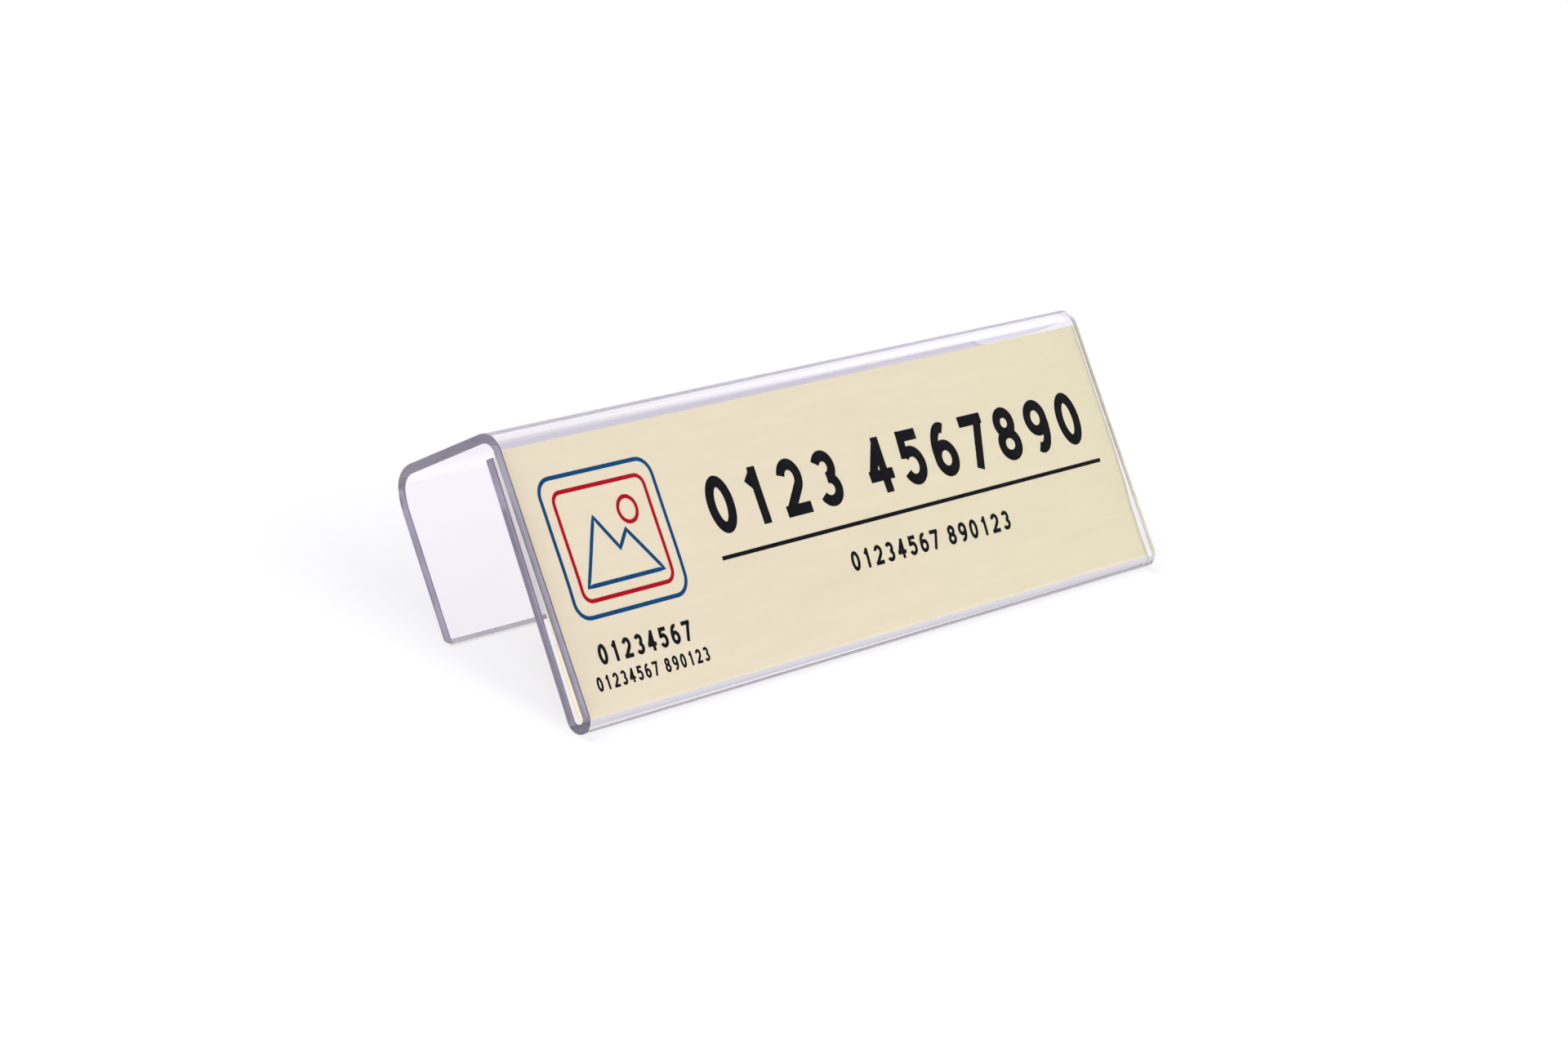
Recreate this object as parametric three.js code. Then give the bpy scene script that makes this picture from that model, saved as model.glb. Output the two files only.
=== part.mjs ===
// A name plate holder for a partition wall: one strip of clear acrylic sheet, heated along
// three lines and bent, with a printed insert standing in the pocket behind its window.
//
// From its free inner end, the strip runs down as the flap behind the insert, turns in a U at the
// foot, runs up as the window in front of the insert, turns back over the wall as the bridge and
// turns down as the leg on the wall's far side. The strip's two ends are open, so the insert
// slides out along X. Off the wall, the holder stands on its U bend and on the leg's foot with
// the window leaning back.
//
// X runs along the holder, the window faces -Y and +Z is up. The origin is on the ground, under
// the middle of the holder. Lengths are in millimetres and angles in degrees.

import * as THREE from 'three';

// The strip
const LENGTH = 216;
const SHEET = 2.3;
const EDGE_ROUND = 0.3;       // at the corners of the strip's two long ends

// The insert
const INSERT_HEIGHT = 63.1;
const INSERT_THICKNESS = 0.3;
const INSERT_CLEARANCE = 0.3; // to the window and to the flap, at the pocket's mouth
const INSERT_SINK = 1.1;      // how far its lower edge dips below the middle of the U bend
const LEFT_RECESS = 0.3;      // from the holder's left end to the insert's
const RIGHT_RECESS = 0.5;     // from the insert's right end to the holder's

// The pocket
const POCKET_FOOT = 2.54;     // width across the U bend, inside
const FLAP_SHORT = 0.85;      // how far the flap ends below the insert's top
const HEADROOM = 2.85;        // from the insert's top to the bridge

// The hook
const FRONT_RADIUS = 2.8;     // inside the bend between window and bridge
const BRIDGE_TILT = 1.1;      // the bridge's rise towards the leg
const CHANNEL = 28.3;         // width for the wall, between the flap's free end and the leg
const REAR_RADIUS = 4.2;      // inside the tight stretch of the bend between bridge and leg
const REAR_TIGHT_TURN = 72;   // the share of that bend which is tight
const REAR_EASE_RADIUS = 15;  // inside the rest of that bend
const LEG_DROP = 39.05;       // from the bridge down to the foot, inside
const LEG_FLARE = 0.6;        // how far the leg opens away from the wall, downwards
const FOOT_CUT = 31;          // the slant of the foot's end face

// Facets
const ARC_STEP = 3;           // turn from one facet of a bend to the next
const ROUND_STEPS = 3;        // facets on a rounded corner

const radians = THREE.MathUtils.degToRad;

const clearAcrylic = new THREE.MeshStandardMaterial({
  color: 0xe4e0ec,
  roughness: 0.05,
  metalness: 0,
  transparent: true,
  opacity: 0.35,
});
const creamCard = new THREE.MeshStandardMaterial({ color: 0xe9dfc6, roughness: 0.85, metalness: 0 });

// The pocket is worked out in the strip's own section, before it leans: u backwards from the
// window's front face, v up from the middle of the U bend.
const bendRadius = POCKET_FOOT / 2;
const bendCentre = new THREE.Vector2(SHEET + bendRadius, 0);
const mouth = INSERT_THICKNESS + 2 * INSERT_CLEARANCE;
const insertTop = INSERT_HEIGHT - INSERT_SINK;
const flapTop = insertTop - FLAP_SHORT;
const bridgeUnderside = insertTop + HEADROOM;

// The flap's front face touches the circle inside the U bend and ends one mouth away from the
// window. This is its angle to the upright, in radians.
function flapLean() {
  const across = mouth - bendRadius;
  return Math.asin(bendRadius / Math.hypot(flapTop, across)) - Math.atan2(across, flapTop);
}

// One place on the strip's middle line, with the direction in which the strip goes on.
function station(u, v, heading) {
  return { point: new THREE.Vector2(u, v), heading };
}

function ahead(heading) {
  return new THREE.Vector2(Math.cos(heading), Math.sin(heading));
}

function leftOf(heading) {
  return new THREE.Vector2(-Math.sin(heading), Math.cos(heading));
}

// Goes straight on from the last station.
function run(line, length) {
  const { point, heading } = line.at(-1);
  const end = point.clone().addScaledVector(ahead(heading), length);
  line.push(station(end.x, end.y, heading));
}

// Turns right from the last station, round a bend of the inside radius given.
function bend(line, insideRadius, turn) {
  const { point, heading } = line.at(-1);
  const radius = insideRadius + SHEET / 2;
  const centre = point.clone().addScaledVector(leftOf(heading), -radius);
  const steps = Math.max(1, Math.ceil(turn / radians(ARC_STEP)));
  for (let i = 1; i <= steps; i += 1) {
    const turned = heading - (turn * i) / steps;
    const next = centre.clone().addScaledVector(leftOf(turned), radius);
    line.push(station(next.x, next.y, turned));
  }
}

// The places on the strip's two faces beside a station. The inside of every bend is on the right.
function outerFace({ point, heading }) {
  return point.clone().addScaledVector(leftOf(heading), SHEET / 2);
}

function innerFace({ point, heading }) {
  return point.clone().addScaledVector(leftOf(heading), -SHEET / 2);
}

// The strip's middle line from the flap's free end to the leg's foot.
function middleLine() {
  const lean = flapLean();
  const flapLength = (flapTop - bendRadius * Math.sin(lean)) / Math.cos(lean);
  const heading = lean - Math.PI / 2;
  const start = bendCentre.clone()
    .addScaledVector(leftOf(heading), bendRadius + SHEET / 2)
    .addScaledVector(ahead(heading), -flapLength);
  const line = [station(start.x, start.y, heading)];
  run(line, flapLength);
  bend(line, bendRadius, Math.PI + lean);
  run(line, bridgeUnderside - FRONT_RADIUS);
  bend(line, FRONT_RADIUS, Math.PI / 2 - radians(BRIDGE_TILT));
  run(line, bridgeLength(line));
  addRearBend(line);
  const { y: top } = innerFace(line.at(-1));
  run(line, (top - (bridgeUnderside - LEG_DROP)) / Math.cos(radians(LEG_FLARE)));
  return line;
}

// The sheet kinks most where it was hottest, and eases into the leg below.
function addRearBend(line) {
  const whole = Math.PI / 2 + radians(BRIDGE_TILT - LEG_FLARE);
  const tight = radians(REAR_TIGHT_TURN);
  bend(line, REAR_RADIUS, tight);
  bend(line, REAR_EASE_RADIUS, whole - tight);
}

// The bridge's straight length that puts the leg one channel behind the flap's free end.
function bridgeLength(lineToBridge) {
  const trial = [lineToBridge.at(-1)];
  addRearBend(trial);
  const leg = innerFace(trial.at(-1));
  const slope = Math.tan(radians(LEG_FLARE));
  const wanted = SHEET + mouth + SHEET + CHANNEL;
  const tilt = radians(BRIDGE_TILT);
  return (wanted - leg.x - (leg.y - flapTop) * slope) / (Math.cos(tilt) + Math.sin(tilt) * slope);
}

// The arc that takes the place of a corner, and the middle of its circle.
function roundedCorner(before, corner, after) {
  const back = before.clone().sub(corner).normalize();
  const on = after.clone().sub(corner).normalize();
  const half = back.angleTo(on) / 2;
  const radius = Math.min(EDGE_ROUND, SHEET / 4);
  const inward = back.clone().add(on).normalize();
  const centre = corner.clone().addScaledVector(inward, radius / Math.sin(half));
  const first = corner.clone().addScaledVector(back, radius / Math.tan(half)).sub(centre);
  const turn = (2 * half - Math.PI) * Math.sign(back.cross(on));
  const arc = [];
  for (let i = 0; i <= ROUND_STEPS; i += 1) {
    const spoke = first.clone().rotateAround(new THREE.Vector2(), (turn * i) / ROUND_STEPS);
    arc.push(centre.clone().add(spoke));
  }
  return { arc, centre, radius };
}

// The strip's section, and the rounded inner corner of the foot that it stands on.
function stripSection() {
  const line = middleLine();
  const outer = line.map(outerFace);
  const inner = line.map(innerFace);
  const foot = line.at(-1).heading;
  outer.at(-1).addScaledVector(ahead(foot), -SHEET * Math.tan(radians(FOOT_CUT)));
  const flapOuter = roundedCorner(inner[0], outer[0], outer[1]);
  const footOuter = roundedCorner(outer.at(-2), outer.at(-1), inner.at(-1));
  const footInner = roundedCorner(outer.at(-1), inner.at(-1), inner.at(-2));
  const flapInner = roundedCorner(inner[1], inner[0], outer[0]);
  const outline = [
    ...flapOuter.arc,
    ...outer.slice(1, -1),
    ...footOuter.arc,
    ...footInner.arc,
    ...inner.slice(1, -1).reverse(),
    ...flapInner.arc,
  ];
  return { outline, foot: footInner };
}

// The holder's lean when its U bend and its foot both touch the ground, in radians.
function standingLean(foot) {
  const between = foot.centre.clone().sub(bendCentre);
  const rise = bendRadius + SHEET - foot.radius;
  return Math.atan2(between.y, between.x) + Math.asin(rise / between.length());
}

function makeHolder(outline) {
  const geometry = new THREE.ExtrudeGeometry(new THREE.Shape(outline), {
    depth: LENGTH,
    bevelEnabled: false,
    steps: 1,
  });
  geometry.translate(0, 0, -LENGTH / 2);
  const sectionToHolder = new THREE.Matrix4().makeBasis(
    new THREE.Vector3(0, 1, 0),
    new THREE.Vector3(0, 0, 1),
    new THREE.Vector3(1, 0, 0),
  );
  geometry.applyMatrix4(sectionToHolder);
  const holder = new THREE.Mesh(geometry, clearAcrylic);
  holder.name = 'acrylic_holder';
  return holder;
}

// The insert's foot stands in the middle of the U bend, and it leans forward so that it passes
// through the middle of the mouth.
function makeInsert() {
  const length = LENGTH - LEFT_RECESS - RIGHT_RECESS;
  const geometry = new THREE.BoxGeometry(length, INSERT_THICKNESS, INSERT_HEIGHT);
  geometry.translate(0, 0, INSERT_HEIGHT / 2);
  const insert = new THREE.Mesh(geometry, creamCard);
  insert.name = 'insert_card';
  insert.position.set((LEFT_RECESS - RIGHT_RECESS) / 2, bendCentre.x, -INSERT_SINK);
  insert.rotation.x = Math.atan2(bendRadius - mouth / 2, flapTop + INSERT_SINK);
  return insert;
}

// The two pieces lean back together, and are then set down on the ground over the origin.
const section = stripSection();
const leaning = new THREE.Group();
leaning.rotation.x = -standingLean(section.foot);
leaning.add(makeHolder(section.outline), makeInsert());

const namePlateHolder = new THREE.Group();
namePlateHolder.add(leaning);
namePlateHolder.updateMatrixWorld(true);
const box = new THREE.Box3().setFromObject(namePlateHolder, true);
leaning.position.y = -(box.min.y + box.max.y) / 2;
leaning.position.z = -box.min.z;
namePlateHolder.updateMatrixWorld(true);

export default namePlateHolder;
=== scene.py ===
"""The looks of a clear acrylic name plate holder with a printed card in its pocket.

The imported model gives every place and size: the holder's section is read from its left end
face and swept again with true normals and eased ends, and the card and its print are laid out
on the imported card. Lengths are in metres unless they are written as a number of MM.
"""

import math

import bmesh
import bpy
from mathutils import Matrix, Vector


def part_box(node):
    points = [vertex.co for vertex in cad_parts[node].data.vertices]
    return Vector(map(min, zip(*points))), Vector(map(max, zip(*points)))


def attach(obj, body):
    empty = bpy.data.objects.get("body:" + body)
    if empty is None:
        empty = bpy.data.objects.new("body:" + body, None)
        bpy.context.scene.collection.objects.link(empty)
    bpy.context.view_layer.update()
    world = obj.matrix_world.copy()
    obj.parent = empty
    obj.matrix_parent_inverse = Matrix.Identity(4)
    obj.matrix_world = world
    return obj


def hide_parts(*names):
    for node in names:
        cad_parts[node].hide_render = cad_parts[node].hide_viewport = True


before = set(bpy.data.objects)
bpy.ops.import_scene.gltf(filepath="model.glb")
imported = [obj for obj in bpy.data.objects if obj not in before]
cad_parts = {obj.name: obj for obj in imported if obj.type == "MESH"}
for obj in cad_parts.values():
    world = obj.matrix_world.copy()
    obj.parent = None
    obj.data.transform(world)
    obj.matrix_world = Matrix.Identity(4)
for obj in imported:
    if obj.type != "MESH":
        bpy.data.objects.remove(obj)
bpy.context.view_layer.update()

MM = 0.001
WELD = 0.002 * MM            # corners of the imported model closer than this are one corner

# The photograph's camera
CAMERA_PLACE = Vector((-756.5, -515.7, 440.2)) * MM
CAMERA_AHEAD = Vector((0.74704, 0.51412, -0.42145))
CAMERA_UP = Vector((0.16513, 0.47061, 0.86676))
SENSOR = 36
LENS = 95.27
NEAREST_SEEN = 10 * MM

# The holder's faces, in the order of its materials, and its ends
SHEET_FACE, END_FACE, CUT_END = 0, 1, 2
END_EASE = 0.22 * MM         # along the rims of the two sawn end faces, and less than the section's
                             # own corners are rounded, or the rims would fold over
EASE_STEPS = 3
FLAT_EDGE = 1.2 * MM         # an edge of the section longer than this is a flat, not an arc
CUT_EDGE = 4.0 * MM          # and a flat shorter than this is a cut end of the strip

# The card, from its lower edge upwards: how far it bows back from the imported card's plane, in MM
BOW = ((0, 0), (6.5, 0.15), (13, 0.06), (21, -0.35), (31, -0.58), (45, -0.42), (63.1, -0.2))
CARD_ROW = 1.5 * MM          # height of one row of its faces

# Ink
INK_LIFT = 0.012 * MM        # clear of the card
INK_DEPTH = 0.01 * MM
STROKE_STEP = 1.5            # longest straight piece of a stroke, in MM
SHARPEST_MITRE = 0.75        # limits how far a stroke's corner sticks out
ARC_STEP = 8                 # in degrees
FEWEST_ARC_STEPS = 6
FIGURE_GAP = 0.42            # between figures, as a share of a figure's width
SPACE = 0.75                 # a space's width, in figures
ON_EDGE = 0.001              # a stroke that ends closer than this to its figure's edge ends on it

# The print, in MM from the card's lower left corner. A line of figures has its text, its box as
# left, foot, right and head, and the width of its strokes as a share of its height.
HEADING = ("0123 4567890", (59.7, 32.6, 204.9, 46.7), 0.2)
SECOND_LINE = ("01234567 890123", (102.3, 16.2, 164.9, 21.1), 0.2)
THIRD_LINE = ("01234567", (10.8, 11.0, 42.0, 15.8), 0.2)
FOURTH_LINE = ("01234567 890123", (7.6, 5.4, 45.4, 8.8), 0.19)
RULE = ((58.9, 27.3), (207.8, 27.3))
LINE_WIDTH = 1.0             # of the rule and of the sign's lines
SIGN_PLACE = Vector((26.6, 38.2))
SIGN_FRAME = (18.6, 16.4, 4.2)        # half its width, half its height and its corners' radius
SIGN_INNER_FRAME = (15.0, 12.8, 2.6)
SIGN_SUN = (7.2, 5.6, 3.0)            # its place from the sign's, and its radius
SIGN_HILLS = ((-12.6, -9.6), (-4.4, 5.6), (1.0, -2.6), (4.6, 1.2), (12.6, -9.6), (-12.6, -9.6))

# Acrylic
ACRYLIC_IOR = 1.49
SHEET_TINT = (0.945, 0.925, 0.975)    # of light that has crossed the sheet once
DEPTH_TINT = (0.65, 0.63, 0.72)       # of light that runs along inside it, at this density per metre
DEPTH_DENSITY = 10.3
LIGHT_PASSES = (0.975, 0.97, 0.98)    # of the light that falls on the card and the floor
SHEET_ROUGHNESS = 0.0
END_FACE_ROUGHNESS = 0.07
CUT_END_ROUGHNESS = 0.8

# Card and ink
CREAM_LEFT = (0.69, 0.626, 0.452)
CREAM_RIGHT = (0.686, 0.651, 0.439)
CARD_ROUGHNESS = 0.85
CARD_SHINE = 0.2
BLACK_INK = (0.003, 0.003, 0.005)
BLUE_INK = (0.001, 0.052, 0.15)
RED_INK = (0.36, 0.001, 0.009)
INK_ROUGHNESS = 0.9
INK_SHINE = 0.01

# Noise: its shares of the scale along X, Y and Z, its scale, its height as relief and its detail
SHEET_WAVES = ((0.3, 1, 1), 60, 0.006 * MM, 2)
SAWN_CLOUDS = ((1, 1, 1), 140, 0.01 * MM, 3)
CARD_TOOTH = ((0.12, 1, 1), 420, 0.012 * MM, 6)
INK_TOOTH = ((0.12, 1, 1), 420, 0.008 * MM, 6)
NOISE_SPAN = (0.3, 0.7)               # noise is hardly ever past these values

# A colour's darkest and lightest share, where noise varies it
END_FACE_SHADES = (0.75, 1.04)
CUT_END_SHADES = (0.92, 1.04)
CARD_SHADES = (0.975, 1.02)

# Lamps: two soft suns, which make a white floor render as white
WHITE = (1.0, 1.0, 1.0)
FRONT_LAMP = 2.2
FRONT_LAMP_FROM = Vector((0.22, -0.72, 0.66))
BACK_LAMP = 2.2
BACK_LAMP_FROM = Vector((-0.5, 0.29, 0.82))
LAMP_SPREAD = 40             # in degrees
BOUNCES = 96                 # enough to follow light that is guided along inside the sheet

# The studio's light. A glance is a reflection, inside the sheet or off it, and light that has
# glanced often is guided along inside the sheet.
AMBIENT = 0.46               # on everything that isn't clear
STUDIO_BEHIND = 0.96         # behind the object, in reflections and after a glance in the sheet
DIM_IN_REFLECTIONS = 0.015   # behind the camera, as the sheet's faces reflect it,
DIM_AFTER_GLANCE = 0.15      # as it shows after a glance or two in the sheet,
DIM_GUIDED = 0.55            # and as guided light shows it
GUIDED_FROM = 3              # glances
SOFT_BOX = 2.2               # the box that shines along the front bend, to the right of the object

# Where one light goes over into the next: the start and the end of a soft step, on one axis of the
# direction that is looked in
BEHIND_BEGINS = (0.0, 0.3)            # on Y
HORIZON_ENDS = (0.05, 0.3)            # on Z
BOX_NEAR_SIDE = (0.0, 0.15)           # on Y
BOX_FAR_SIDE = (0.3, 0.44)            # on Y
BOX_LEFT_SIDE = (0.68, 0.8)           # on X
BOX_RIGHT_SIDE = (0.7935, 0.797)      # on X
BOX_LOWER_SIDE = (0.2, 0.3)           # on Z

# The floor
FLOOR_REACH = 3.0
FLOOR_WHITE = 0.85           # for the light that it throws back on the object
FLOOR_SEEN = 0.27            # as the eye sees it, with this lift
FLOOR_LIFT = (0.635, 0.628, 0.65)
FLOOR_IN_SHEET = 0.13        # as it shows through the sheet, with this share more of the lift
LIFT_IN_SHEET = 0.41
TWICE_PAINTED_SHADE = 0.35            # painted shade: less of the lift through two thicknesses of the sheet,
GLANCE_PAINTED_SHADE = 0.5            # and less of it after a few glances, under the object's front: a painted contact shadow
FEW_GLANCES = 3              # at most
FRONT_ENDS = (-12 * MM, 4 * MM)       # in Y, over a soft step, where the painted contact shadow under the front fades out


def new_object(name, mesh):
    """A mesh object in the scene."""
    piece = bpy.data.objects.new(name, mesh)
    bpy.context.scene.collection.objects.link(piece)
    return piece


def end_outline(node):
    """The corners of a node's left end face, in order round it, as points (0, y, z)."""
    work = bmesh.new()
    work.from_mesh(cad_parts[node].data)
    bmesh.ops.remove_doubles(work, verts=work.verts, dist=WELD)
    left = min(v.co.x for v in work.verts)
    neighbours = {}
    for edge in work.edges:
        at_end = all(abs(v.co.x - left) < WELD for v in edge.verts)
        beside_a_long_face = any(abs(f.normal.x) < 0.5 for f in edge.link_faces)
        if at_end and beside_a_long_face:
            a, b = edge.verts
            neighbours.setdefault(a, []).append(b)
            neighbours.setdefault(b, []).append(a)
    start = next(iter(neighbours))
    loop = [start, neighbours[start][0]]
    while loop[-1] is not start:
        here, before = loop[-1], loop[-2]
        loop.append(next(v for v in neighbours[here] if v is not before))
    outline = [Vector((0, v.co.y, v.co.z)) for v in loop[:-1]]
    work.free()
    area = sum(a.y * b.z - b.y * a.z for a, b in zip(outline, outline[1:] + outline[:1]))
    return outline if area > 0 else outline[::-1]


def outline_normals(outline):
    """The outward normal at each corner: the flat's beside a flat, and the arc's on an arc."""
    normals = []
    for i, corner in enumerate(outline):
        before = corner - outline[i - 1]
        after = outline[(i + 1) % len(outline)] - corner
        if before.length > FLAT_EDGE:
            along = before.normalized()
        elif after.length > FLAT_EDGE:
            along = after.normalized()
        else:
            along = (before.normalized() + after.normalized()).normalized()
        normals.append(Vector((0, along.z, -along.y)))
    return normals


def face_kind(ring, edge_length):
    """Which of the holder's faces this is, from its ring along the strip and its edge's length."""
    if ring != EASE_STEPS:
        return END_FACE
    if FLAT_EDGE < edge_length < CUT_EDGE:
        return CUT_END
    return SHEET_FACE


def sweep(name, outline, left, right):
    """The outline swept from left to right with eased rims, as a mesh."""
    normals = outline_normals(outline)
    count = len(outline)
    quarter = [math.radians(90) * k / EASE_STEPS for k in range(EASE_STEPS + 1)]
    rings = [(left + END_EASE * (1 - math.cos(a)), a, -1) for a in quarter]
    rings += [(right - END_EASE * (1 - math.cos(a)), a, 1) for a in reversed(quarter)]
    points = []
    point_normals = []
    for x, angle, side in rings:
        inset = END_EASE * (1 - math.sin(angle))
        for corner, normal in zip(outline, normals):
            points.append(corner - normal * inset + Vector((x, 0, 0)))
            point_normals.append(normal * math.sin(angle) + Vector((side * math.cos(angle), 0, 0)))
    faces = []
    kinds = []
    for ring in range(len(rings) - 1):
        for i in range(count):
            j = (i + 1) % count
            faces.append((ring * count + i, ring * count + j,
                          (ring + 1) * count + j, (ring + 1) * count + i))
            kinds.append(face_kind(ring, (outline[j] - outline[i]).length))
    last = (len(rings) - 1) * count
    faces.append(tuple(reversed(range(count))))
    faces.append(tuple(last + i for i in range(count)))
    kinds += [END_FACE, END_FACE]
    mesh = bpy.data.meshes.new(name)
    mesh.from_pydata(points, [], faces)
    for face, kind in zip(mesh.polygons, kinds):
        face.material_index = kind
        face.use_smooth = True
    mesh.normals_split_custom_set_from_vertices(point_normals)
    return mesh


def new_material(name):
    """A material with nothing but an output, as (material, tree, output)."""
    material = bpy.data.materials.new(name)
    material.use_nodes = True
    tree = material.node_tree
    tree.nodes.clear()
    return material, tree, tree.nodes.new("ShaderNodeOutputMaterial")


def add_node(tree, kind, sockets, **settings):
    """A shader node with these settings. Each socket named is given its value, or is linked if
    the value is another node's socket."""
    node = tree.nodes.new("ShaderNode" + kind)
    for name, value in settings.items():
        setattr(node, name, value)
    for name, value in sockets.items():
        if isinstance(value, bpy.types.NodeSocket):
            tree.links.new(value, node.inputs[name])
        else:
            node.inputs[name].default_value = value
    return node


def combine(tree, operation, *values):
    """The sum, product and so on of values, which are sockets or numbers."""
    return add_node(tree, "Math", dict(enumerate(values)), operation=operation).outputs[0]


def at_least(tree, count, least):
    """One where a whole number is this or more, and nought where it is less."""
    return combine(tree, "GREATER_THAN", count, least - 0.5)


def choose(tree, share, without, whole):
    """The second value where the share is one, and the first where it is nought."""
    sockets = {"Factor": share, "A": without, "B": whole}
    return add_node(tree, "Mix", sockets, data_type="FLOAT").outputs["Result"]


def step(tree, value, limits, ends, shape="SMOOTHSTEP"):
    """Goes from the first of two ends to the second, where the value goes from the first of its
    two limits to the second."""
    sockets = {
        "Value": value,
        "From Min": limits[0],
        "From Max": limits[1],
        "To Min": ends[0],
        "To Max": ends[1],
    }
    return add_node(tree, "MapRange", sockets, interpolation_type=shape).outputs[0]


def axes(tree, space):
    """A place's X, Y and Z in the space named."""
    place = add_node(tree, "TexCoord", {})
    return add_node(tree, "SeparateXYZ", {0: place.outputs[space]}).outputs


def rays(tree, *kinds):
    """One for rays of these kinds, and nought for others."""
    path = add_node(tree, "LightPath", {})
    found = path.outputs[kinds[0]]
    for kind in kinds[1:]:
        found = combine(tree, "MAXIMUM", found, path.outputs[kind])
    return found


def add_relief(tree, shader, kind):
    """Roughens a shader's surface with noise of this kind, and returns the noise."""
    shares, scale, height, detail = kind
    place = add_node(tree, "TexCoord", {})
    squeezed = add_node(tree, "Mapping", {"Vector": place.outputs["Object"], "Scale": shares})
    sockets = {"Vector": squeezed.outputs[0], "Scale": scale, "Detail": detail}
    noise = add_node(tree, "TexNoise", sockets).outputs["Fac"]
    bump = add_node(tree, "Bump", {"Strength": 1.0, "Distance": height, "Height": noise})
    tree.links.new(bump.outputs[0], shader.inputs["Normal"])
    return noise


def vary(tree, shader, tone, noise, shades):
    """Gives a shader this colour, darker and lighter between two shares with the noise."""
    share = step(tree, noise, NOISE_SPAN, shades, "LINEAR")
    varied = add_node(tree, "VectorMath", {0: tone, "Scale": share}, operation="SCALE")
    tree.links.new(varied.outputs[0], shader.inputs["Base Color"])


def let_light_through(tree, shader, output):
    """Shows the shader to the eye and in reflections, and lets the light pass that falls on the
    card and the floor."""
    falling = rays(tree, "Is Shadow Ray", "Is Diffuse Ray")
    clear = add_node(tree, "BsdfTransparent", {"Color": (*LIGHT_PASSES, 1)})
    mix = add_node(tree, "MixShader", {0: falling, 1: shader.outputs[0], 2: clear.outputs[0]})
    tree.links.new(mix.outputs[0], output.inputs["Surface"])


def acrylic_material(name, roughness, relief, shades=None):
    """Clear acrylic with a faint lavender tint, which also takes a little light in its depth.
    With shades, it is cloudy."""
    material, tree, output = new_material(name)
    shader = add_node(tree, "BsdfPrincipled", {
        "Base Color": (*SHEET_TINT, 1),
        "Roughness": roughness,
        "IOR": ACRYLIC_IOR,
        "Transmission Weight": 1.0,
    })
    noise = add_relief(tree, shader, relief)
    if shades:
        tint = add_node(tree, "CombineXYZ", dict(zip("XYZ", SHEET_TINT)))
        vary(tree, shader, tint.outputs[0], noise, shades)
    let_light_through(tree, shader, output)
    depth = add_node(tree, "VolumeAbsorption", {"Color": (*DEPTH_TINT, 1), "Density": DEPTH_DENSITY})
    tree.links.new(depth.outputs[0], output.inputs["Volume"])
    return material


def matt_shader(tree, output, color, roughness, shine):
    """A matt surface of one colour, as the material's output."""
    shader = add_node(tree, "BsdfPrincipled", {
        "Base Color": (*color, 1),
        "Roughness": roughness,
        "Specular IOR Level": shine,
    })
    tree.links.new(shader.outputs[0], output.inputs["Surface"])
    return shader


def paper_material(left, right):
    """Uncoated cream card, a little yellower to the right, with faint streaks along it and a
    fine tooth."""
    material, tree, output = new_material("cream_card")
    shader = matt_shader(tree, output, CREAM_LEFT, CARD_ROUGHNESS, CARD_SHINE)
    streaks = add_relief(tree, shader, CARD_TOOTH)
    along = step(tree, axes(tree, "Object")["X"], (left, right), (0, 1), "LINEAR")
    sockets = {"Factor": along, "A": (*CREAM_LEFT, 1), "B": (*CREAM_RIGHT, 1)}
    tone = add_node(tree, "Mix", sockets, data_type="RGBA").outputs["Result"]
    vary(tree, shader, tone, streaks, CARD_SHADES)
    return material


def ink_material(name, color):
    """Matt ink, a little uneven where the card's tooth shows through."""
    material, tree, output = new_material(name)
    shader = matt_shader(tree, output, color, INK_ROUGHNESS, INK_SHINE)
    add_relief(tree, shader, INK_TOOTH)
    return material


def make_holder():
    """The bent strip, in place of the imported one."""
    low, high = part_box("acrylic_holder")
    mesh = sweep("clear_holder", end_outline("acrylic_holder"), low.x, high.x)
    materials = {
        SHEET_FACE: acrylic_material("clear_acrylic", SHEET_ROUGHNESS, SHEET_WAVES),
        END_FACE: acrylic_material("end_face_acrylic", END_FACE_ROUGHNESS, SAWN_CLOUDS,
                                   END_FACE_SHADES),
        CUT_END: acrylic_material("cut_end_acrylic", CUT_END_ROUGHNESS, SAWN_CLOUDS, CUT_END_SHADES),
    }
    for kind in sorted(materials):
        mesh.materials.append(materials[kind])
    holder = new_object("clear_holder", mesh)
    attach(holder, "holder")
    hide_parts("acrylic_holder")


def card_frame():
    """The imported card's place as a matrix, from (along, up, out) with the origin at the lower
    left corner of the printed face, and its length, height and thickness."""
    corners = {tuple(round(c / WELD) for c in v.co): v.co.copy()
               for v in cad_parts["insert_card"].data.vertices}.values()
    by_height = sorted(corners, key=lambda c: c.z)
    foot = sum(by_height[:4], Vector()) / 4
    head = sum(by_height[4:], Vector()) / 4
    up = (head - foot).normalized()
    out = Vector((0, -up.z, up.y))
    low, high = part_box("insert_card")
    thickness = 2 * max((c - foot).dot(out) for c in by_height[:4])
    origin = foot + out * thickness / 2
    origin.x = low.x
    place = Matrix.Identity(4)
    for column, axis in enumerate((Vector((1, 0, 0)), up, out)):
        place.col[column].xyz = axis
    place.col[3].xyz = origin
    return place, high.x - low.x, (head - foot).length, thickness


def bow(height):
    """How far out the card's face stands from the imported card's at this height above its foot."""
    height = min(max(height / MM, BOW[0][0]), BOW[-1][0])
    for (low, start), (high, end) in zip(BOW, BOW[1:]):
        if height <= high:
            share = (height - low) / (high - low)
            smooth = share * share * (3 - 2 * share)
            return -(start + (end - start) * smooth) * MM


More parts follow.
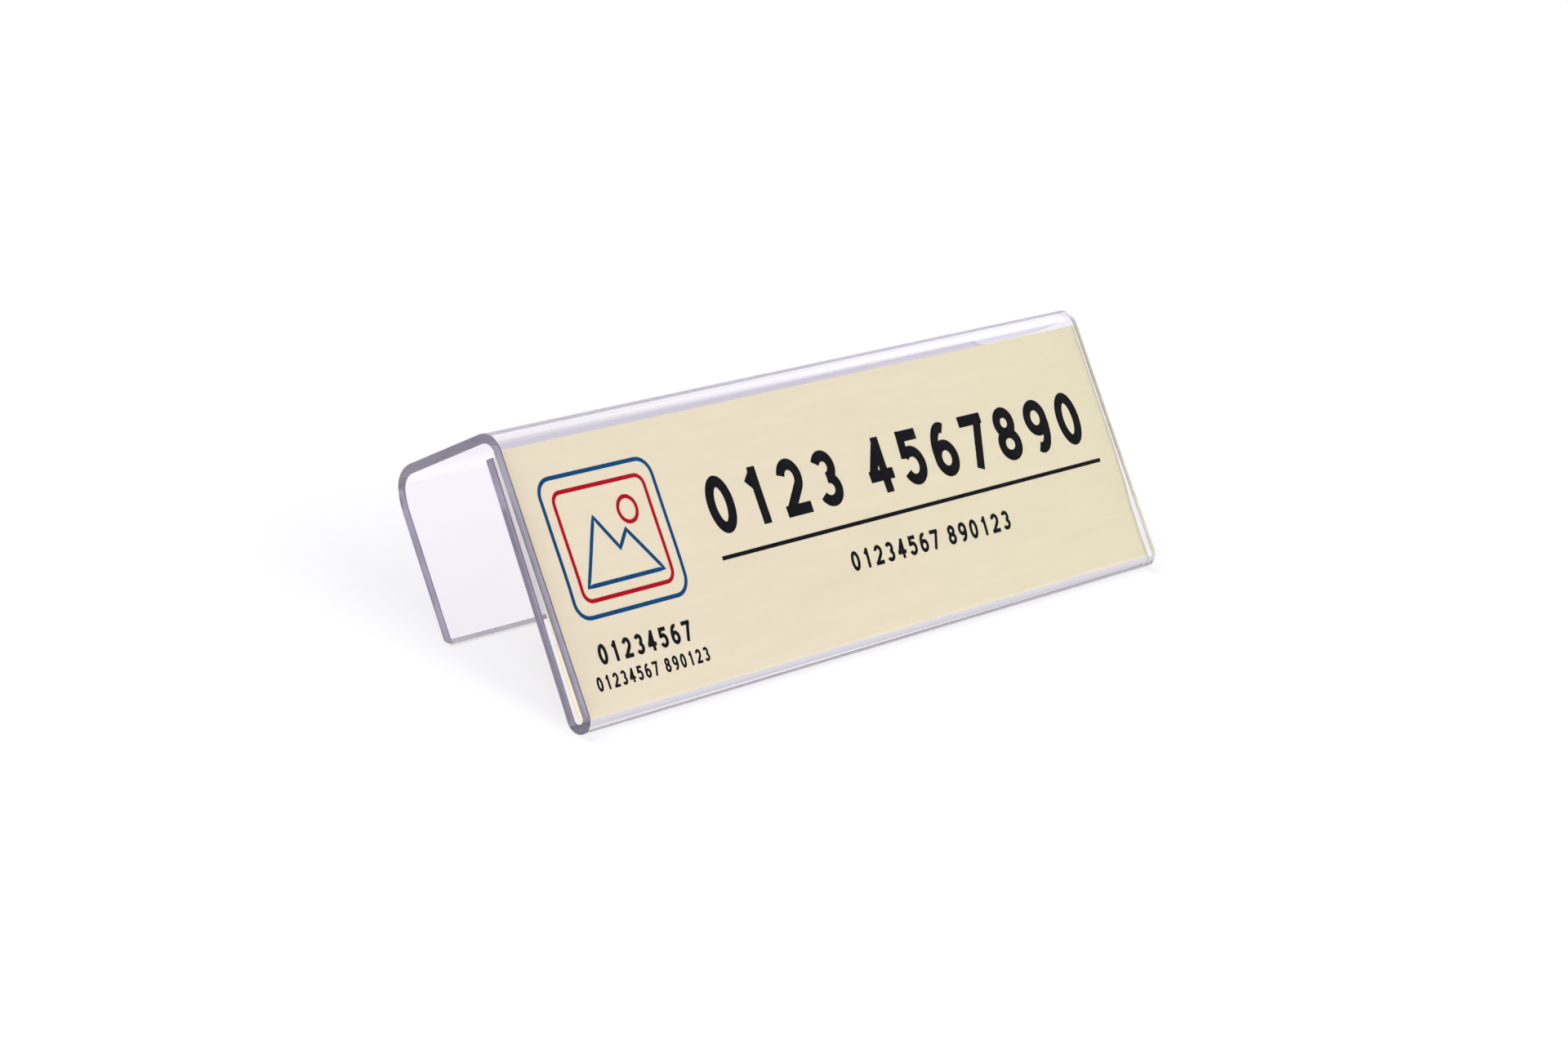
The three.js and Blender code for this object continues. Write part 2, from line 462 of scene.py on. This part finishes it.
def lay_on_card(points, place):
    """Takes points (along, up, out) to their places on the bowed card."""
    return [place @ Vector((p[0], p[1], p[2] + bow(p[1]))) for p in points]


def make_card(place, length, height, thickness):
    """The card itself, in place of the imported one: rows of faces front and back, and its rim."""
    rows = math.ceil(height / CARD_ROW)
    points = []
    for out in (0, -thickness):
        for i in range(rows + 1):
            up = height * i / rows
            points += [(0, up, out), (length, up, out)]
    back = 2 * (rows + 1)
    faces = [(0, back, back + 1, 1), (2 * rows + 1, back + 2 * rows + 1, back + 2 * rows, 2 * rows)]
    for i in range(rows):
        a, b, c, d = 2 * i, 2 * i + 1, 2 * i + 3, 2 * i + 2
        faces.append((a, b, c, d))
        faces.append((back + d, back + c, back + b, back + a))
        faces.append((a, d, back + d, back + a))
        faces.append((c, b, back + b, back + c))
    mesh = bpy.data.meshes.new("cream_insert")
    mesh.from_pydata(lay_on_card(points, place), [], faces)
    low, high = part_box("insert_card")
    mesh.materials.append(paper_material(low.x, high.x))
    card = new_object("cream_insert", mesh)
    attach(card, "card")
    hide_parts("insert_card")


def arc(x, y, across, upward, start, end):
    """Points along an arc of an ellipse, from one angle to another in degrees."""
    steps = max(FEWEST_ARC_STEPS, int(abs(end - start) / ARC_STEP))
    turns = [math.radians(start + (end - start) * k / steps) for k in range(steps + 1)]
    return [(x + across * math.cos(a), y + upward * math.sin(a)) for a in turns]


def upside_down(strokes):
    """The same strokes turned half round."""
    return [[(1 - x, 1 - y) for x, y in stroke] for stroke in strokes]


# The middle lines of plain figures, in a square from (0, 0) to (1, 1)
SIX = [arc(0.5, 0.3, 0.5, 0.3, 0, 360), arc(0.56, 0.42, 0.56, 0.58, 190, 68)]
FIGURES = {
    "0": [arc(0.5, 0.5, 0.5, 0.5, 0, 360)],
    "1": [[(0.22, 0.76), (0.62, 0.98)], [(0.62, 1), (0.62, 0)]],
    "2": [arc(0.5, 0.7, 0.47, 0.3, 165, -38) + [(0.02, 0)], [(0, 0), (1, 0)]],
    "3": [arc(0.48, 0.75, 0.44, 0.25, 155, -88), arc(0.48, 0.26, 0.5, 0.26, 88, -155)],
    "4": [[(0.7, 0), (0.7, 1)], [(0.66, 0.96), (0.02, 0.3)], [(0, 0.28), (1, 0.28)]],
    "5": [[(0.92, 1), (0.17, 1)], [(0.17, 1), (0.09, 0.5)], arc(0.48, 0.32, 0.52, 0.32, 138, -155)],
    "6": SIX,
    "7": [[(0, 1), (1, 1)], [(0.96, 0.98), (0.34, 0)]],
    "8": [arc(0.5, 0.76, 0.43, 0.24, 0, 360), arc(0.5, 0.26, 0.5, 0.26, 0, 360)],
    "9": upside_down(SIX),
}


def split_long(points):
    """The same line with more points, so that it follows the bowed card."""
    fine = [points[0]]
    for a, b in zip(points, points[1:]):
        steps = max(1, math.ceil((b - a).length / STROKE_STEP))
        fine += [a.lerp(b, k / steps) for k in range(1, steps + 1)]
    return fine


def stroke_faces(points, width):
    """The corners and faces of a band of ink along the points, in MM. It is closed if it ends
    where it starts."""
    closed = (points[0] - points[-1]).length < width / 100
    line = split_long(points)
    if closed:
        line = line[:-1]
    count = len(line)
    corners = []
    for i, point in enumerate(line):
        before = line[i - 1] if closed or i else None
        after = line[(i + 1) % count] if closed or i < count - 1 else None
        ways = [(b - a).normalized() for a, b in ((before, point), (point, after)) if a and b]
        along = sum(ways, Vector((0, 0))).normalized()
        reach = width / 2 / max(along.dot(ways[0]), SHARPEST_MITRE)
        side = Vector((-along.y, along.x)) * reach
        for across, up in ((1, 1), (1, 0), (-1, 0), (-1, 1)):
            at = (point + side * across) * MM
            corners.append((at.x, at.y, INK_LIFT + INK_DEPTH * up))
    faces = []
    for i in range(count if closed else count - 1):
        j = (i + 1) % count
        for k in range(4):
            m = (k + 1) % 4
            faces.append((4 * i + k, 4 * i + m, 4 * j + m, 4 * j + k))
    if not closed:
        faces.append((0, 3, 2, 1))
        faces.append(tuple(4 * (count - 1) + k for k in (0, 1, 2, 3)))
    return corners, faces


def print_strokes(name, strokes, width, place, ink):
    """One printed piece made of strokes of the width given, in MM from the card's corner."""
    points = []
    faces = []
    for stroke in strokes:
        corners, sides = stroke_faces([Vector(p) for p in stroke], width)
        faces += [tuple(len(points) + k for k in side) for side in sides]
        points += corners
    mesh = bpy.data.meshes.new(name)
    mesh.from_pydata(lay_on_card(points, place), [], faces)
    mesh.materials.append(ink)
    piece = new_object(name, mesh)
    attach(piece, "card")


def square_ends(scaled, ends, width):
    """The stroke, made longer by half its width where it ends on the figure's edge."""
    if len(ends) != 2:
        return scaled
    first, last = scaled
    along = (last - first).normalized() * width / 2
    on_edge = [min(p.x, p.y, 1 - p.x, 1 - p.y) < ON_EDGE for p in ends]
    return [first - along * on_edge[0], last + along * on_edge[1]]


def print_figures(name, line, place, ink):
    """A line of plain figures that fill its box."""
    text, (left, foot, right, head), weight = line
    places = sum(SPACE if c == " " else 1 for c in text)
    gaps = sum(0 if c == " " else 1 for c in text) - 1
    figure = (right - left) / (places + gaps * FIGURE_GAP)
    width = (head - foot) * weight
    strokes = []
    x = left
    for c in text:
        if c == " ":
            x += figure * SPACE
            continue
        for middle_line in FIGURES[c]:
            ends = [Vector(p) for p in middle_line]
            scaled = [Vector((x + width / 2 + p.x * (figure - width),
                              foot + width / 2 + p.y * (head - foot - width))) for p in ends]
            strokes.append(square_ends(scaled, ends, width))
        x += figure * (1 + FIGURE_GAP)
    print_strokes(name, strokes, width, place, ink)


def rounded_frame(centre, half_width, half_height, radius):
    """Points round a rectangle with round corners, ending where they start."""
    points = []
    for quadrant, (sx, sy) in enumerate(((1, 1), (-1, 1), (-1, -1), (1, -1))):
        middle = centre + Vector((sx * (half_width - radius), sy * (half_height - radius)))
        points += arc(middle.x, middle.y, radius, radius, 90 * quadrant, 90 * quadrant + 90)
    return points + points[:1]


def make_print(place):
    """The card's generic print: plain figures, a rule and a picture sign."""
    black = ink_material("black_ink", BLACK_INK)
    blue = ink_material("blue_ink", BLUE_INK)
    red = ink_material("red_ink", RED_INK)
    print_figures("print_heading", HEADING, place, black)
    print_strokes("print_rule", [RULE], LINE_WIDTH, place, black)
    print_figures("print_second_line", SECOND_LINE, place, black)
    print_figures("print_third_line", THIRD_LINE, place, black)
    print_figures("print_fourth_line", FOURTH_LINE, place, black)
    outer = rounded_frame(SIGN_PLACE, *SIGN_FRAME)
    inner = rounded_frame(SIGN_PLACE, *SIGN_INNER_FRAME)
    right, up, radius = SIGN_SUN
    sun = arc(SIGN_PLACE.x + right, SIGN_PLACE.y + up, radius, radius, 0, 360)
    hills = [SIGN_PLACE + Vector(p) for p in SIGN_HILLS]
    print_strokes("sign_frame", [outer], LINE_WIDTH, place, blue)
    print_strokes("sign_inner_frame", [inner], LINE_WIDTH, place, red)
    print_strokes("sign_sun", [sun], LINE_WIDTH, place, red)
    print_strokes("sign_hills", [hills], LINE_WIDTH, place, blue)


def floor_painted_shade(tree):
    """Painted shade on the floor: how much less of its lift shows through two thicknesses of the
    sheet, or where a few glances lead to the floor under the object's front, as a painted contact
    shadow. Each thickness has two faces to cross, and the third face crossed leads into the second
    thickness."""
    path = add_node(tree, "LightPath", {})
    faces_crossed = path.outputs["Transmission Depth"]
    glances = path.outputs["Glossy Depth"]
    # painted shade on the floor where it shows through two thicknesses of the sheet
    through_two = at_least(tree, faces_crossed, 3)
    through_one = at_least(tree, faces_crossed, 2)
    few_glances = combine(tree, "SUBTRACT", at_least(tree, glances, 1),
                          at_least(tree, glances, FEW_GLANCES + 1))
    # painted contact shadow: the floor's lift is dimmed under the object's front
    under_front = step(tree, axes(tree, "Object")["Y"], FRONT_ENDS, (1, 0))
    after_few = combine(tree, "MULTIPLY", few_glances, through_one)
    after_few = combine(tree, "MULTIPLY", after_few, under_front)
    return combine(tree, "MAXIMUM", combine(tree, "MULTIPLY", through_two, TWICE_PAINTED_SHADE),
                   combine(tree, "MULTIPLY", after_few, GLANCE_PAINTED_SHADE))


def make_floor():
    """A plain white floor, lifted for the eye and in glass so that its shadows stay light, with
    painted shade where it shows through two thicknesses of the sheet and, after a few glances,
    under the object's front.
    """
    reach = FLOOR_REACH
    mesh = bpy.data.meshes.new("floor")
    mesh.from_pydata([(-reach, -reach, 0), (reach, -reach, 0), (reach, reach, 0), (-reach, reach, 0)],
                     [], [(0, 1, 2, 3)])
    material, tree, output = new_material("floor")
    seen = rays(tree, "Is Camera Ray", "Is Glossy Ray", "Is Transmission Ray")
    in_sheet = rays(tree, "Is Glossy Ray", "Is Transmission Ray")
    shade = choose(tree, seen, FLOOR_WHITE, FLOOR_SEEN)
    shade = choose(tree, in_sheet, shade, FLOOR_IN_SHEET)
    lift = combine(tree, "MULTIPLY_ADD", in_sheet, LIFT_IN_SHEET, seen)
    # painted shade: the floor's lift is dimmed through two thicknesses and under the object's front
    lift = combine(tree, "SUBTRACT", lift, floor_painted_shade(tree))
    shader = matt_shader(tree, output, WHITE, roughness=1.0, shine=0.0)
    shader.inputs["Emission Color"].default_value = (*FLOOR_LIFT, 1)
    tree.links.new(shade, shader.inputs["Base Color"])
    tree.links.new(lift, shader.inputs["Emission Strength"])
    mesh.materials.append(material)
    new_object("floor", mesh)


def soft_box(tree, x, y, z):
    """The light of the soft box in the direction (x, y, z)."""
    box = combine(tree, "MULTIPLY", step(tree, y, BOX_NEAR_SIDE, (0, SOFT_BOX)),
                  step(tree, y, BOX_FAR_SIDE, (1, 0)))
    box = combine(tree, "MULTIPLY", box, step(tree, x, BOX_LEFT_SIDE, (0, 1)))
    box = combine(tree, "MULTIPLY", box, step(tree, x, BOX_RIGHT_SIDE, (1, 0)))
    return combine(tree, "MULTIPLY", box, step(tree, z, BOX_LOWER_SIDE, (0, 1)))


def make_world():
    """The studio. To the eye it is white all round, also straight through the sheet. In the
    sheet's reflections, and after glances inside it, it is nearly white behind the object, dim
    behind the camera, white near the horizon and bright where the soft box is. On everything else
    it sheds an even light."""
    world = bpy.data.worlds.new("studio")
    bpy.context.scene.world = world
    world.use_nodes = True
    tree = world.node_tree
    tree.nodes.clear()
    x, y, z = axes(tree, "Generated")
    glances = add_node(tree, "LightPath", {}).outputs["Glossy Depth"]
    leaving = rays(tree, "Is Transmission Ray")
    guided = at_least(tree, glances, GUIDED_FROM)
    dim = choose(tree, guided, DIM_AFTER_GLANCE, DIM_GUIDED)
    dim = choose(tree, leaving, DIM_IN_REFLECTIONS, dim)
    dim = choose(tree, step(tree, z, HORIZON_ENDS, (1, 0)), dim, 1.0)
    shown = choose(tree, step(tree, y, BEHIND_BEGINS, (0, 1)), dim, STUDIO_BEHIND)
    box = choose(tree, guided, soft_box(tree, x, y, z), 0.0)
    shown = combine(tree, "ADD", shown, box)
    no_glance = combine(tree, "SUBTRACT", 1.0, at_least(tree, glances, 1))
    straight = combine(tree, "MULTIPLY", leaving, no_glance)
    strength = choose(tree, straight, shown, 1.0)
    strength = choose(tree, rays(tree, "Is Diffuse Ray"), strength, AMBIENT)
    strength = choose(tree, rays(tree, "Is Camera Ray"), strength, 1.0)
    studio = add_node(tree, "Background", {"Color": (*WHITE, 1), "Strength": strength})
    add_node(tree, "OutputWorld", {"Surface": studio.outputs[0]})


def make_lamp(name, strength, source):
    """A wide soft lamp, which the sheet's faces don't reflect."""
    data = bpy.data.lights.new(name, "SUN")
    data.energy = strength
    data.angle = math.radians(LAMP_SPREAD)
    lamp = bpy.data.objects.new(name, data)
    bpy.context.scene.collection.objects.link(lamp)
    lamp.rotation_mode = "QUATERNION"
    lamp.rotation_quaternion = source.to_track_quat("Z", "Y")
    lamp.visible_glossy = False
    lamp.visible_transmission = False


def make_camera():
    """The photograph's view."""
    data = bpy.data.cameras.new("camera")
    data.lens = LENS
    data.sensor_width = SENSOR
    data.clip_start = NEAREST_SEEN
    camera = bpy.data.objects.new("camera", data)
    bpy.context.scene.collection.objects.link(camera)
    back = -CAMERA_AHEAD.normalized()
    right = CAMERA_UP.cross(back).normalized()
    up = back.cross(right)
    turn = Matrix((right, up, back)).transposed().to_4x4()
    camera.matrix_world = Matrix.Translation(CAMERA_PLACE) @ turn
    bpy.context.scene.camera = camera


def set_render():
    """The plain view transform, and bounces enough for the sheet."""
    scene = bpy.context.scene
    scene.view_settings.view_transform = "Standard"
    scene.cycles.max_bounces = BOUNCES
    scene.cycles.transmission_bounces = BOUNCES
    scene.cycles.glossy_bounces = BOUNCES


make_camera()
make_world()
make_lamp("front_lamp", FRONT_LAMP, FRONT_LAMP_FROM)
make_lamp("back_lamp", BACK_LAMP, BACK_LAMP_FROM)
make_floor()
make_holder()
card_place, card_length, card_height, card_thickness = card_frame()
make_card(card_place, card_length, card_height, card_thickness)
make_print(card_place)
set_render()
